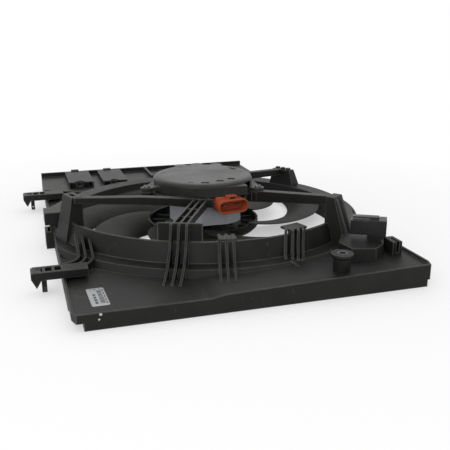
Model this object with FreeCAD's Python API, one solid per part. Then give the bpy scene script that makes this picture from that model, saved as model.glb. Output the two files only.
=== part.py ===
"""Radiator fan shroud of a small car: a moulded plastic panel with the fan ring,
a brushless motor carried on five arms, the fan, and the two electrical sockets.

Millimetres. The model is drawn about the fan axis, with the radiator side on
Z = 0 and the engine side up, and is moved as a whole when it is written out, so
that the origin is the middle of the underside of its bounding box."""
import FreeCAD, Part
import os
from math import cos, radians, sin

os.makedirs("parts", exist_ok=True)
V = FreeCAD.Vector
UP = V(0, 0, 1)

# ---- Driving dimensions of the moulding ------------------------------------------
WALL = 2.5                      # general wall of the moulding
LEFT_EDGE, PLATE_RIGHT = -231.5, 204.0
NEAR_EDGE, FAR_EDGE = -320.0, 330.0
FAR_RIGHT = 172.5               # right edge of the far panel
CLIP_REACH = -268.5             # outer end of the side clips
RING_REACH = 238.0              # the panel bulges out round the ring on the right
LOW_LEVEL = 16.0                # top of the near left panel
STEP_LEFT, STEP_RIGHT = -78.5, -63.5
STEP_LEVEL, RIGHT_LEVEL = 18.8, 25.5
FAR_LEVEL = 25.0                # top of the far panel
FAR_LIP = 33.0
LIP_RISE = 3.4                  # the edge stands this far above the near panel
EDGE_STEP_Z = 9.0               # below this height the panel's ends are cut back
OVERHANG, NOTCH = 7.0, 12.0     # by this much on the right, and at the near left corner
NOTCH_END = -262.0

# Ring round the fan: an inverted trough with a drafted outer and inner wall
THROAT_R, RIM_R, RIM_Z = 205.5, 225.0, 50.3
LOW_RIM_Z = 32.5
FOOT_R, FOOT_Z = 233.0, 24.6
SHOULDER_R, SHOULDER_Z = 251.5, 23.8
BASE_R, BASE_Z = 261.0, 14.0
TALL_FROM, TALL_TO = 199.0, 309.0     # degrees: where the ring wall stands tall

# Fan and motor
FAN_R = 202.0
BLADES = 7
HUB_R, HUB_RIM_Z, HUB_FLOOR_Z = 86.0, 18.5, 5.0
SHAFT_R, SHAFT_GAP = 4.0, 0.05
BEARING_R, BEARING_LEN = 11.0, 7.0
CAN_R, CAN_LOW, CAN_TOP = 52.0, 20.0, 60.0
FLANGE_R, FLANGE_TOP = 66.0, 64.0
GASKET_TOP = 65.2
BOARD_LOW, BOARD_TOP = 66.0, 67.6
COVER_R, COVER_LOW, COVER_TOP = 76.0, 68.0, 87.0
CARRIER_IN, CARRIER_OUT = 67.0, 86.0
CARRIER_LOW, CARRIER_TOP = 56.0, 68.0
EARS = (192.0, 315.0, 70.0)           # degrees: the three fixing ears of the motor
EAR_R, EAR_LOW, EAR_TOP = 94.0, 70.5, 76.5
EAR_HOLE = 2.6

# Sockets
PLUG_W, PLUG_H, PLUG_WALL = 49.0, 20.0, 2.2
PLUG_AT = V(21.0, -92.0, 56.5)        # centre of the power socket's mouth
PLUG_DEPTH = 25.0
PLUG_TURN = -81.0                     # degrees: the way it faces
SIDE_AT = V(169.5, -239.0, 46.0)      # foot of the side socket's collar
SIDE_TURN = 150.0

ORIGIN = V((CLIP_REACH + RING_REACH) / 2, (NEAR_EDGE + FAR_EDGE) / 2, 0)


# ---- Small builders --------------------------------------------------------------
def block(x0, x1, y0, y1, z0, z1):
    return Part.makeBox(x1 - x0, y1 - y0, z1 - z0, V(x0, y0, z0))


def rod(r, z0, z1, x=0.0, y=0.0):
    return Part.makeCylinder(r, z1 - z0, V(x, y, z0))


def tube(r_out, r_in, z0, z1, x=0.0, y=0.0):
    return rod(r_out, z0, z1, x, y).cut(rod(r_in, z0 - 1, z1 + 1, x, y))


def prism(points, z0, z1):
    wire = Part.makePolygon([V(x, y, z0) for x, y in list(points) + [points[0]]])
    return Part.Face(wire).extrude(V(0, 0, z1 - z0))


def turned(profile, start=0.0, sweep=360.0):
    """Revolve a closed (r, z) outline about the fan axis."""
    wire = Part.makePolygon([V(r, 0, z) for r, z in list(profile) + [profile[0]]])
    solid = Part.Face(wire).revolve(V(0, 0, 0), UP, sweep)
    solid.rotate(V(0, 0, 0), UP, start)
    return solid


def polar(r, angle, z=0.0):
    return V(r * cos(radians(angle)), r * sin(radians(angle)), z)


def placed(shape, angle, at=V(0, 0, 0)):
    """A copy of a shape drawn along +X, turned about Z and moved."""
    copy = shape.copy()
    copy.rotate(V(0, 0, 0), UP, angle)
    copy.translate(at)
    return copy


def fuse(shapes):
    shapes = list(shapes)
    return shapes[0].multiFuse(shapes[1:]).removeSplitter() if len(shapes) > 1 else shapes[0]


def fitted(shape, neighbours):
    """The main solid of a shape once the space its neighbours fill is taken out."""
    for other in neighbours:
        shape = shape.cut(other)
    return max(shape.Solids, key=lambda solid: solid.Volume)


def fin(profile, thickness, angle):
    """An upright rib in a radial plane from its (r, z) outline."""
    wire = Part.makePolygon([V(r, -thickness / 2, z) for r, z in list(profile) + [profile[0]]])
    return placed(Part.Face(wire).extrude(V(0, thickness, 0)), angle)


def section(centre, across, width, low, top):
    """An upright rectangle across a beam, for a loft."""
    side = across * (width / 2)
    corners = [centre - side, centre + side]
    points = [V(corners[0].x, corners[0].y, low), V(corners[1].x, corners[1].y, low),
              V(corners[1].x, corners[1].y, top), V(corners[0].x, corners[0].y, top)]
    return Part.makePolygon(points + [points[0]])


def beam(start, end, width, start_z, end_z):
    """A straight beam between two plan points; the z pairs are (low, top) at each end."""
    along = (end - start)
    across = V(-along.y, along.x, 0).normalize()
    return Part.makeLoft([section(start, across, width, *start_z),
                          section(end, across, width, *end_z)], True, True)


def channel(start, end, width, start_z, end_z):
    """A beam hollowed from below, as a moulded arm is."""
    solid = beam(start, end, width, start_z, end_z)
    core_start = (start_z[0] - 5, start_z[1] - WALL)
    core_end = (end_z[0] - 5, end_z[1] - WALL)
    return solid.cut(beam(start, end, width - 2 * WALL, core_start, core_end))


# ---- The moulding: panel ---------------------------------------------------------
def outline_face(inset=0.0):
    """Plan of the moulding: straight sides, with the ring's bulge on the right."""
    reach = RING_REACH
    bulge_low = -(reach ** 2 - PLATE_RIGHT ** 2) ** 0.5
    base_x = 215.5
    base_y = (reach ** 2 - base_x ** 2) ** 0.5
    far_step = 143.0
    corner = 12.0
    start = V(PLATE_RIGHT, bulge_low, 0)
    end = V(base_x, base_y, 0)
    arc = Part.Arc(start, V(reach, 0, 0), end).toShape()
    points = [end, V(base_x, far_step, 0), V(FAR_RIGHT, far_step, 0), V(FAR_RIGHT, FAR_EDGE, 0),
              V(LEFT_EDGE, FAR_EDGE, 0), V(LEFT_EDGE, NEAR_EDGE + corner, 0),
              V(LEFT_EDGE + corner / 3, NEAR_EDGE, 0), V(PLATE_RIGHT - corner / 3, NEAR_EDGE, 0),
              V(PLATE_RIGHT, NEAR_EDGE + corner, 0), start]
    edges = [arc] + [Part.LineSegment(a, b).toShape() for a, b in zip(points[:-1], points[1:])]
    face = Part.Face(Part.Wire(edges))
    return face.makeOffset2D(-inset, 0, False, False, True) if inset else face


def outline(z0, z1, inset=0.0):
    face = outline_face(inset)
    face.translate(V(0, 0, z0))
    return face.extrude(V(0, 0, z1 - z0))


def level_solid(drop=0.0, lift=0.0):
    """Everything under the near panel's top, whose right part rises in a ramp."""
    x0, x1 = LEFT_EDGE - 20, RING_REACH + 20
    slope = (RIGHT_LEVEL - STEP_LEVEL) / (PLATE_RIGHT - STEP_RIGHT)
    right = STEP_LEVEL + slope * (x1 - STEP_RIGHT)
    shift = lift - drop
    points = [(x0, -1), (x1, -1), (x1, right + shift), (STEP_RIGHT, STEP_LEVEL + shift),
              (STEP_LEFT, LOW_LEVEL + shift), (x0, LOW_LEVEL + shift)]
    y0 = NEAR_EDGE - 20
    wire = Part.makePolygon([V(x, y0, z) for x, z in points + [points[0]]])
    return Part.Face(wire).extrude(V(0, FAR_EDGE - NEAR_EDGE + 40, 0))


def far_region(z0, z1, grow=0.0):
    """The raised far panel in plan, up to its step down towards the left side."""
    points = [(LEFT_EDGE - 20, 234 - grow), (-152.5, 179 - grow), (-6.5, 143 - grow),
              (RING_REACH + 20, 93 - grow), (RING_REACH + 20, FAR_EDGE + 20),
              (LEFT_EDGE - 20, FAR_EDGE + 20)]
    return prism(points, z0, z1)


def ring_space():
    """All that lies inside the outer face of the ring's foot."""
    return turned([(0, -1), (BASE_R, -1), (BASE_R, BASE_Z), (SHOULDER_R, SHOULDER_Z),
                   (SHOULDER_R, 61), (0, 61)])


def panel_near():
    """Near part of the panel with its raised lip, its end steps and the curved ribs."""
    zone = outline(0, 60).cut(far_region(-1, 61))
    plate = zone.common(level_solid()).cut(level_solid(drop=WALL)).cut(ring_space())
    rim = zone.cut(outline(-1, 61, WALL)).common(level_solid(lift=LIP_RISE))
    step_walls, step_spaces = edge_steps()
    braces = [beam(V(-228, y, 0), V(-196, y - 48, 0), WALL, (LOW_LEVEL - 2, 22), (LOW_LEVEL - 2, 24))
              for y in (222, 206)]
    return fuse([plate, rim] + step_walls + swept_ribs() + braces).cut(fuse(step_spaces))


def panel_far():
    """Raised far part of the panel, with its step wall, its lip and a cross rib."""
    zone = outline(0, 60).common(far_region(-1, 61))
    plate = zone.common(block(-400, 400, -400, 400, FAR_LEVEL - WALL, FAR_LEVEL)).cut(ring_space())
    rim = zone.cut(outline(-1, 61, WALL)).common(block(-400, 400, -400, 400, 0, FAR_LEVEL))
    lip = zone.common(block(LEFT_EDGE - 1, FAR_RIGHT + 1, FAR_EDGE - WALL, FAR_EDGE + 1, 0, FAR_LIP))
    step = zone.common(far_region(LOW_LEVEL - WALL, FAR_LEVEL))
    step = step.cut(far_region(-1, 60, -WALL)).cut(ring_space())
    rib = block(-32.5, -28.5, 193, FAR_EDGE - 1, FAR_LEVEL - 1, FAR_LIP)
    return fuse([plate, rim, lip, step, rib.cut(ring_space())]).cut(fuse(plate_windows()))


# ---- The moulding: ring, towers, ribs ---------------------------------------------
def ring_wall():
    t = WALL
    low = [(BASE_R, BASE_Z), (SHOULDER_R, SHOULDER_Z), (FOOT_R + 1, FOOT_Z), (FOOT_R - 0.5, LOW_RIM_Z),
           (THROAT_R + 6, LOW_RIM_Z - 2), (THROAT_R, 0), (THROAT_R + t, 0), (THROAT_R + 8, LOW_RIM_Z - 5),
           (FOOT_R - 3.5, LOW_RIM_Z - 3), (FOOT_R - 2.5, FOOT_Z - t), (SHOULDER_R - 1.4, SHOULDER_Z - t),
           (BASE_R - t, BASE_Z)]
    tall = [(BASE_R, BASE_Z), (SHOULDER_R, SHOULDER_Z), (FOOT_R, FOOT_Z), (RIM_R, RIM_Z),
            (RIM_R - 3.6, RIM_Z), (THROAT_R, 0), (THROAT_R + t, 0), (RIM_R - 2.4, RIM_Z - 5),
            (FOOT_R - t - 0.4, FOOT_Z - t), (SHOULDER_R - 1.4, SHOULDER_Z - t), (BASE_R - t, BASE_Z)]
    sweep = TALL_TO - TALL_FROM
    ring = fuse([turned(low, TALL_TO, 360 - sweep), turned(tall, TALL_FROM, sweep)])
    return ring.common(outline(-1, 100))


def tower(angle, top_z, inner, base_out, top_out, base_half, top_half, foot_z, back_ribs=2):
    """A hollow post that carries the outer end of an arm, with ribs on its back."""
    def frame_at(z, r0, r1, half):
        points = [V(r0, -half, z), V(r1, -half, z), V(r1, half, z), V(r0, half, z)]
        return Part.makePolygon(points + [points[0]])
    shell = Part.makeLoft([frame_at(foot_z, inner, base_out, base_half),
                           frame_at(top_z, inner, top_out, top_half)], True, True)
    core = Part.makeLoft([frame_at(foot_z - 1, inner + WALL, base_out - WALL, base_half - WALL),
                          frame_at(top_z - WALL, inner + WALL, top_out - WALL, top_half - WALL)],
                         True, True)
    rib = [(base_out - 3, foot_z), (base_out + 3, foot_z), (top_out + 3, top_z - 4), (top_out - 3, top_z - 1)]
    ribs = [fin(rib, WALL, 0).translated(V(0, side * top_half * 0.55, 0)) for side in (-1, 1)[:back_ribs]]
    post = fuse([shell.cut(core)] + ribs)
    return placed(post, angle)


LEFT_TOWER = 198.0
RIGHT_TOWER = 307.0
FAR_TOWER = 33.0


def towers():
    slot = block(-3, 3, -7, 7, 80, 95)
    left = tower(LEFT_TOWER, 85, 207, 236, 222, 17, 15, 22, back_ribs=0)
    left = left.cut(placed(slot, LEFT_TOWER, polar(215, LEFT_TOWER)))
    right = tower(RIGHT_TOWER, 86, 219, 252, 231, 15, 11.5, 24)
    far = tower(FAR_TOWER, 58, 212, 236, 226, 26, 18, 24)
    bumps = [placed(rod(4, 55, 61, 219, y), FAR_TOWER) for y in (-11, 0, 11)]
    return [left, right, fuse([far] + bumps)]


RIB_T = 3.2
CLUSTERS = {          # (top of the middle rib, way it runs, offsets across, (run, z) outline)
    "arm": (V(-88, -206, 0), 247.5, (-10, 0, 10),
            ((-10, 14), (62, 14), (62, 17), (36, 26), (14, 45), (3, 73), (-4, 73), (-10, 55))),
    "middle": (V(-27, -205, 0), 255, (-9, 0, 9),
               ((-2, 14), (72, 14), (72, 19), (44, 29), (25, 45), (17, 54), (-2, 54))),
    "right": (V(61, -214, 0), 249, (-9, 0, 7, 13),
              ((-2, 18), (28, 18), (28, 24), (17, 40), (10, 57), (-2, 57))),
}


def clusters():
    """Groups of parallel ribs that stiffen the outside of the ring wall."""
    ribs = []
    for top, way, offsets, profile in CLUSTERS.values():
        for offset in offsets:
            at = top + polar(offset, way + 90)
            ribs.append(fin(profile, RIB_T, way).translated(at))
    back = prism([(-29, 0), (29, 0), (22, 3), (-22, 3)], RIM_Z - 5, 74)
    ribs.append(placed(back, 247.5 + 90, polar(RIM_R - 3, 247.0)))
    ledge = block(RIM_R - 17, RIM_R - 1, -11, 11, RIM_Z - 0.8, 53)
    ribs.append(placed(ledge, 262.5))
    hood = block(RIM_R - 18, RIM_R + 2, -14, 14, 54, 57)
    hood_post = block(RIM_R - 3, RIM_R, -14, 14, 42, 57)
    ribs += [placed(hood, 287.5), placed(hood_post, 287.5)]
    return ribs


SWEPT = ((-209, -113, -174), (-201, -117, -186), (-192, -124, -197))   # x, inner end, outer end


def swept_ribs():
    """Curved ribs that run from the ring wall round into the near clip."""
    ribs = []
    for x, inner_end, outer_end in SWEPT:
        radius = x - LEFT_EDGE
        turn_y = outer_end + radius
        arc = tube(radius + RIB_T, radius, LOW_LEVEL - 2, 48).common(block(0, 99, -99, 0, 0, 60))
        straight = block(x, x + RIB_T, turn_y, inner_end, LOW_LEVEL - 2, 48)
        ribs += [arc.translated(V(LEFT_EDGE, turn_y, 0)), straight]
    slope = Part.makePolygon([V(0, y, z) for y, z in ((-104, 47), (-160, 27), (-260, 25), (-260, 90),
                                                      (-104, 90), (-104, 47))])
    above = Part.Face(slope).extrude(V(200, 0, 0)).translated(V(-300, 0, 0))
    return [rib.cut(above) for rib in ribs]


def gussets():
    """Small webs outside the ring's shoulder, beside the right tower."""
    shape = [(SHOULDER_R - 3, SHOULDER_Z - 6), (BASE_R + 8, 18), (BASE_R + 8, 20),
             (SHOULDER_R - 3, SHOULDER_Z + 1)]
    return [fin(shape, WALL, angle) for angle in (281.0, 297.0)]


# ---- The moulding: motor carrier and arms ----------------------------------------
ARMS = {    # plan points from the tower to the carrier, (low, top) at each, width
    "left": ((V(-204, -79, 0), V(-110, -79, 0), V(-12, -78, 0)), ((77, 85), (68, 79), (56, 68)), 12),
    "right": ((V(131, -178, 0), V(60, -60, 0)), ((74, 86), (54, 71)), 12),
    "far_right": ((V(190, 125, 0), V(64, 66, 0)), ((48, 58), (56, 68)), 11),
    "far": ((V(-2, 214, 0), V(40, 76, 0)), ((24, 32), (56, 68)), 11),
}
PLUG_GAP = 3.0                  # room kept round the power socket


def arms():
    """Five hollow arms, kept clear of the screws of the motor's ears."""
    solids = [open_arm()]
    for stations, heights, width in ARMS.values():
        spans = [channel(stations[k], stations[k + 1], width, heights[k], heights[k + 1])
                 for k in range(len(stations) - 1)]
        solids.append(fuse(spans))
    room = fuse([rod(10, EAR_LOW, 99, EAR_R, 0), block(60, EAR_R, -8, 8, EAR_LOW, 99),
                 rod(EAR_HOLE, CARRIER_LOW - 10, 99, EAR_R, 0)])
    rooms = [placed(room, angle) for angle in EARS]
    return [arm.cut(fuse(rooms + [rod(CARRIER_IN, 20, 99)])) for arm in solids]


def open_arm():
    """The near left arm: three thin ribs with cross webs, so that it is open between."""
    outer, inner = V(-87, -204, 0), V(-25, -78, 0)
    along = (inner - outer)
    across = V(-along.y, along.x, 0).normalize()
    ribs = [beam(outer + across * s, inner + across * s, 2.6, (64, 73), (56, 68)) for s in (-9, 0, 9)]
    for t in (0.35, 0.62):
        mid = outer + along * t
        ribs.append(beam(mid - across * 10, mid + across * 10, 2.6, (61, 68), (61, 68)))
    return fuse(ribs)


def carrier():
    """Grooved ring under the motor's flange, open where the power socket comes through."""
    ring = tube(CARRIER_OUT, CARRIER_IN, CARRIER_LOW, CARRIER_TOP)
    groove = tube(CARRIER_OUT - WALL, CARRIER_IN + WALL, CARRIER_LOW - 1, CARRIER_TOP - WALL)
    half = PLUG_W / 2 + PLUG_GAP
    gate = placed(block(-50, 40, -half, half, -20, 40), PLUG_TURN, PLUG_AT)
    pads = [rod(9, CARRIER_LOW, EAR_LOW, *polar(EAR_R, a)[:2]) for a in EARS]
    holes = [rod(EAR_HOLE, CARRIER_LOW - 1, 80, *polar(EAR_R, a)[:2]) for a in EARS]
    return fuse([ring.cut(groove).cut(gate)] + pads).cut(fuse(holes + [rod(CARRIER_IN, 20, 99)]))


# ---- The moulding: corner features and clips --------------------------------------
BOSS = (93.5, -291.0)
BOSS_TOP = 45.0
BUSH_R, BUSH_HOLE = 6.2, 4.3
PEDESTAL_TOP = 40.0


def drafted_pedestal():
    def loop(z, grow):
        points = [(115.5 - grow, -239), (119.5 - grow, -267 - grow), (148.5, -276 - grow),
                  (167.5 + grow, -261 - grow), (174.5 + grow, -229), (158, -207), (132, -213)]
        return Part.makePolygon([V(x, y, z) for x, y in points + [points[0]]])
    return Part.makeLoft([loop(18, 2.5), loop(PEDESTAL_TOP, 0)], True, True)


def corner_boss():
    """Turned boss through the near panel, bored for its steel bush."""
    boss = turned([(BUSH_R, 0), (10, 0), (11, 38), (13.4, 42), (13.4, BOSS_TOP), (BUSH_R, BOSS_TOP)])
    return boss.translated(V(BOSS[0], BOSS[1], 0))


def corner_lug():
    return block(177, 190, -269, -245, 20, 43).cut(block(182, 186, -270, -251, 28, 44))


def rest_tab():
    """Hollow tab on the left edge, open below and notched in its outer face."""
    tab = block(-242.5, -210.5, -34, -4, 0, 53).cut(block(-246, -235.5, -37, -1, 25, 35))
    return tab.cut(block(-238.5, -206, -31, -7, -1, 49))


def side_clip(y0, width=22.0):
    """An arm that snaps over the radiator's edge: a window row, a leg and a hook."""
    arm = block(-266.5, LEFT_EDGE + 30, y0, y0 + width, 20, 30)
    windows = [block(x, x + 8, y0 + 4, y0 + width - 4, 24, 31) for x in (-262.5, -251.5, -240.5)]
    leg = block(-256.5, -250.5, y0 + 4, y0 + 14, 3.5, 21).cut(
        Part.makeCylinder(CLIP_HOLE, 12, V(-253.5, y0 + 3, 7.5), V(0, 1, 0)))
    hook = Part.makePolygon([V(x, y0, z) for x, z in ((CLIP_REACH, 29), (-256.5, 29), (-256.5, 20),
                                                     (-262.5, 10), (CLIP_REACH, 22), (CLIP_REACH, 29))])
    hook = Part.Face(hook).extrude(V(0, width, 0))
    return fuse([arm.cut(fuse(windows)), leg, hook])


CLIP_HOLE = 1.8
CLIPS_Y = (-210.0, 171.0)


PLATES = ((-187.5, -143.5, 224.0, 320.0), (-126.5, -82.5, 220.0, 315.0))
PLATE_TOP = 35.0


def plate_windows():
    """Openings under the vent plates, which end short of the ring's foot."""
    windows = []
    for x0, x1, y0, y1 in PLATES:
        foot_y = (BASE_R ** 2 - (x1 - 6) ** 2) ** 0.5
        windows.append(block(x0 + 6, x1 - 6, max(y0 + 8, foot_y + 2), y1 - 8, 0, 40))
    return windows


def edge_steps():
    """Low walls and ledges of the two cut-backs, and the space they leave outside."""
    inner_left, inner_right = LEFT_EDGE + NOTCH, PLATE_RIGHT - OVERHANG
    y0, y1 = NEAR_EDGE + 0.5, -(RING_REACH ** 2 - PLATE_RIGHT ** 2) ** 0.5
    low, top = EDGE_STEP_Z, EDGE_STEP_Z + WALL
    walls = [block(inner_left, inner_left + WALL, y0, NOTCH_END, 0, top),
             block(LEFT_EDGE + 0.5, inner_left + WALL, y0, NOTCH_END + WALL, low, top),
             block(LEFT_EDGE + 0.5, inner_left + WALL, NOTCH_END, NOTCH_END + WALL, 0, top),
             block(inner_right - WALL, inner_right, y0, y1, 0, top),
             block(inner_right - WALL, PLATE_RIGHT - 0.5, y0, y1, low, top)]
    outside = [block(LEFT_EDGE - 1, inner_left, NEAR_EDGE - 1, NOTCH_END, -1, low),
               block(inner_right, PLATE_RIGHT + 1, NEAR_EDGE - 1, y1 - WALL, -1, low)]
    plan = outline(-1, 61)
    return [wall.common(plan) for wall in walls], outside


def moulding():
    """The one moulding of the shroud, split where its forms meet into simple pieces, each
    fitted to the ones before it so that they touch and never overlap."""
    ring = fuse([ring_wall()] + clusters() + gussets())
    boss = corner_boss()
    near = fitted(panel_near(), [ring, boss, rod(BUSH_R, -1, 60, *BOSS)])
    far = fitted(panel_far(), [ring, near])
    posts = [fitted(post, [ring, near, far]) for post in towers()]
    hub = carrier()
    spokes = [fitted(arm, posts + [ring, hub]) for arm in arms()]
    clips = [fitted(side_clip(y0), [near]) for y0 in CLIPS_Y]
    return {
        "fan_ring": ring,
        "panel_near": near,
        "panel_far": far,
        "ring_towers": Part.makeCompound(posts),
        "motor_carrier": hub,
        "motor_arms": Part.makeCompound(spokes),
        "side_clips": Part.makeCompound(clips),
        "corner_boss": boss,
        "corner_pedestal": fitted(drafted_pedestal(), [near, ring]),
        "corner_lug": fitted(corner_lug(), [near, ring]),
        "rest_tab": fitted(rest_tab(), [near, ring, posts[0]]),
    }


# ---- Motor -----------------------------------------------------------------------
STATOR_R, STATOR_LOW, STATOR_TOP = 45.0, 30.0, 50.0
ROTOR_R, MAGNET_T, AIR_GAP = 22.0, 2.2, 0.8
TEETH = 12
LOWER_BEARING_Z, UPPER_BEARING_Z = 16.5, 54.5
FACE_Y = -63.0                 # flat front of the motor housing


def motor_housing():
    body = turned([(0, CAN_LOW), (CAN_R, CAN_LOW), (CAN_R, CAN_TOP), (FLANGE_R, CAN_TOP),
                   (FLANGE_R, FLANGE_TOP), (0, FLANGE_TOP)])
    front = block(-34, 46, FACE_Y, 0, CAN_LOW + 2, CAN_TOP)
    nose = rod(BEARING_R + 3, LOWER_BEARING_Z - 1, CAN_LOW + 1)
    solid = fuse([body, front, nose]).common(rod(FLANGE_R, 0, 100))
    hollow = [rod(STATOR_R, CAN_LOW + 3, 80), rod(BEARING_R, LOWER_BEARING_Z, 30),
              rod(SHAFT_R + 1.5, 0, 30)]
    return solid.cut(fuse(hollow))


def stator_core():
    bore = ROTOR_R + MAGNET_T + AIR_GAP
    yoke = tube(STATOR_R, STATOR_R - 6, STATOR_LOW, STATOR_TOP)
    teeth = [placed(block(bore, STATOR_R - 3, -2.6, 2.6, STATOR_LOW, STATOR_TOP), i * 360 / TEETH)
             for i in range(TEETH)]
    return fuse([yoke] + teeth).cut(rod(bore, 0, 80))


def stator_windings():
    """One coil round each tooth, kept apart from the core by the insulator."""
    r0, r1 = ROTOR_R + MAGNET_T + AIR_GAP + 4, STATOR_R - 7
    outer = block(r0, r1, -4.4, 4.4, STATOR_LOW - 3, STATOR_TOP + 3)
    inner = block(r0 - 1, r1 + 1, -2.9, 2.9, STATOR_LOW - 0.4, STATOR_TOP + 0.4)
    coil = outer.cut(inner)
    return Part.makeCompound([placed(coil, i * 360 / TEETH) for i in range(TEETH)])


def bearing(z):
    """Both rings and the sunk shield of a sealed ball bearing, as one turned piece."""
    low, top, sunk = z, z + BEARING_LEN, z + BEARING_LEN - 0.8
    return turned([(SHAFT_R + SHAFT_GAP, low), (BEARING_R, low), (BEARING_R, top), (BEARING_R - 2, top),
                   (BEARING_R - 2, sunk), (SHAFT_R + 2, sunk), (SHAFT_R + 2, top),
                   (SHAFT_R + SHAFT_GAP, top)])


def upper_plate():
    """Dished plate that closes the motor and holds the upper bearing."""
    top = UPPER_BEARING_Z + BEARING_LEN
    return turned([(BEARING_R, UPPER_BEARING_Z), (BEARING_R + 3, UPPER_BEARING_Z), (BEARING_R + 3, top - 3),
                   (STATOR_R - 0.1, top - 3), (STATOR_R - 0.1, top), (BEARING_R, top)])


def motor_shaft():
    return fuse([rod(SHAFT_R, 4.5, 61.0), rod(2.9, 0.8, 5.0)])


def rotor_core():
    return tube(ROTOR_R, SHAFT_R, STATOR_LOW, STATOR_TOP)


def rotor_magnets():
    arc = tube(ROTOR_R + MAGNET_T, ROTOR_R, STATOR_LOW + 0.5, STATOR_TOP - 0.5)
    gap = block(0, 40, -0.8, 0.8, 0, 80)
    split = arc.cut(fuse([placed(gap, i * 45) for i in range(8)]))
    return Part.makeCompound(split.Solids)


def controller_board():
    return rod(58, BOARD_LOW, BOARD_TOP)


def board_capacitors():
    return Part.makeCompound([rod(6.3, BOARD_TOP, 81, *polar(25, a)[:2]) for a in (140, 175, 210)])


def board_transistors():
    chips = [placed(block(36, 48, -6, 6, BOARD_TOP, 71), a) for a in (40, 70, 100, 200, 225, 250)]
    return Part.makeCompound(chips)


def cover_gasket():
    return tube(FLANGE_R - 1, FLANGE_R - 4, FLANGE_TOP, GASKET_TOP)


COVER_SCREWS = (30.0, 110.0, 160.0, 238.0)
COVER_SCREW_R = 62.0


def motor_cover():
    """Moulded cap over the controller: crowned top, hood over the plug, ears and lobes."""
    skin = 2.5
    outer = turned([(0, COVER_LOW), (COVER_R, COVER_LOW), (COVER_R, COVER_TOP - 5),
                    (COVER_R - 1.5, COVER_TOP - 2),
                    (COVER_R - 5, COVER_TOP - 0.6), (COVER_R - 10, COVER_TOP), (0, COVER_TOP)])
    inner = turned([(0, COVER_LOW - 1), (COVER_R - skin, COVER_LOW - 1), (COVER_R - skin, COVER_TOP - 6),
                    (COVER_R - 10, COVER_TOP - skin), (0, COVER_TOP - skin)])
    flange = tube(COVER_R, FLANGE_R - 5, COVER_LOW, COVER_LOW + 2)
    spigot = tube(FLANGE_R - 1, FLANGE_R - 5, GASKET_TOP, COVER_LOW + 1)
    ears = []
    for a in EARS:
        lug = fuse([rod(9, EAR_LOW, EAR_TOP, EAR_R, 0), block(COVER_R - 1.5, EAR_R, -6, 6, EAR_LOW, EAR_TOP)])
        ears.append(placed(lug, a))
    bosses = [rod(3.5, GASKET_TOP, COVER_TOP - 1, *polar(COVER_SCREW_R, a)[:2]) for a in COVER_SCREWS]
    hood = block(PLUG_AT.x - PLUG_W / 2 - 4, PLUG_AT.x + PLUG_W / 2 + 2, -75, -45, COVER_LOW, 82)
    lobes = [rod(10, COVER_TOP - 6, COVER_TOP, *polar(COVER_R - 4, a)[:2]) for a in (57, 82, 105)]
    solid = fuse([outer.cut(inner), flange, spigot, hood] + ears + bosses + lobes)
    cuts = [rod(EAR_HOLE, 60, 100, *polar(EAR_R, a)[:2]) for a in EARS]
    cuts += [rod(1.6, 60, 100, *polar(COVER_SCREW_R, a)[:2]) for a in COVER_SCREWS]
    cuts += [rod(3.5, COVER_TOP - 1.8, 100, *polar(COVER_SCREW_R, a)[:2]) for a in COVER_SCREWS]
    cuts += [placed(block(56, 64, -6, 6, COVER_TOP - 1.2, 95), a) for a in (258, 20)]
    cuts += [rod(6, COVER_TOP - 1.2, 95, *polar(56, a)[:2]) for a in (282, 304)]
    cuts.append(block(-20, 62, -62, -40, COVER_LOW + 3, COVER_TOP - 5))
    return solid.cut(fuse(cuts))


def screw(head_r, head_h, shank_r, length):
    """A plain cheese-head screw with its underside at Z = 0."""
    return turned([(0, -length), (shank_r, -length), (shank_r, 0), (head_r, 0), (head_r, head_h),
                   (0, head_h)])


def ear_screws():
    one = screw(6.0, 3.0, 2.55, 18)
    return Part.makeCompound([one.translated(polar(EAR_R, a, EAR_TOP)) for a in EARS])


def cover_screws():
    one = screw(3.2, 1.6, 1.55, 16)
    return Part.makeCompound([one.translated(polar(COVER_SCREW_R, a, COVER_TOP - 1.8)) for a in COVER_SCREWS])


# ---- Fan --------------------------------------------------------------------------
BLADE_START = -33.0             # degrees: where the root of the first blade stands
BLADE_SWEEP = 58.0              # degrees from root to tip


def blade_section(r):
    """Closed section of a blade at radius r: swept forward, pitched and cambered."""
    t = (r - HUB_R) / (FAN_R - HUB_R)
    chord = 62 + 66 * t
    sweep = radians(BLADE_START + BLADE_SWEEP * max(t, 0.0) ** 1.4)
    rise = 19 - 5 * t
    half = 1.7 - 0.5 * t
    middle_z = HUB_FLOOR_Z + 7.5 + 1.5 * t
    centre = V(r * cos(sweep), r * sin(sweep), 0)
    tangent = V(-sin(sweep), cos(sweep), 0)
    chord_line = tangent * chord - UP * rise
    ends = [centre + UP * middle_z + chord_line * s for s in (-0.5, 0.5)]
    middle = centre + UP * (middle_z + 3.0)
    upper = Part.Arc(ends[0] + UP * half * 0.3, middle + UP * half, ends[1] + UP * half * 0.3).toShape()
    lower = Part.Arc(ends[1] - UP * half * 0.3, middle - UP * half, ends[0] - UP * half * 0.3).toShape()
    nose = Part.LineSegment(ends[1] + UP * half * 0.3, ends[1] - UP * half * 0.3).toShape()
    tail = Part.LineSegment(ends[0] - UP * half * 0.3, ends[0] + UP * half * 0.3).toShape()
    return Part.Wire([upper, nose, lower, tail])


def blade():
    solid = Part.makeLoft([blade_section(r) for r in (80, 110, 145, 180, 212)], True, False)
    return solid.common(rod(FAN_R, -20, 60)).cut(rod(HUB_R - 2.6, -20, 60))


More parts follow.
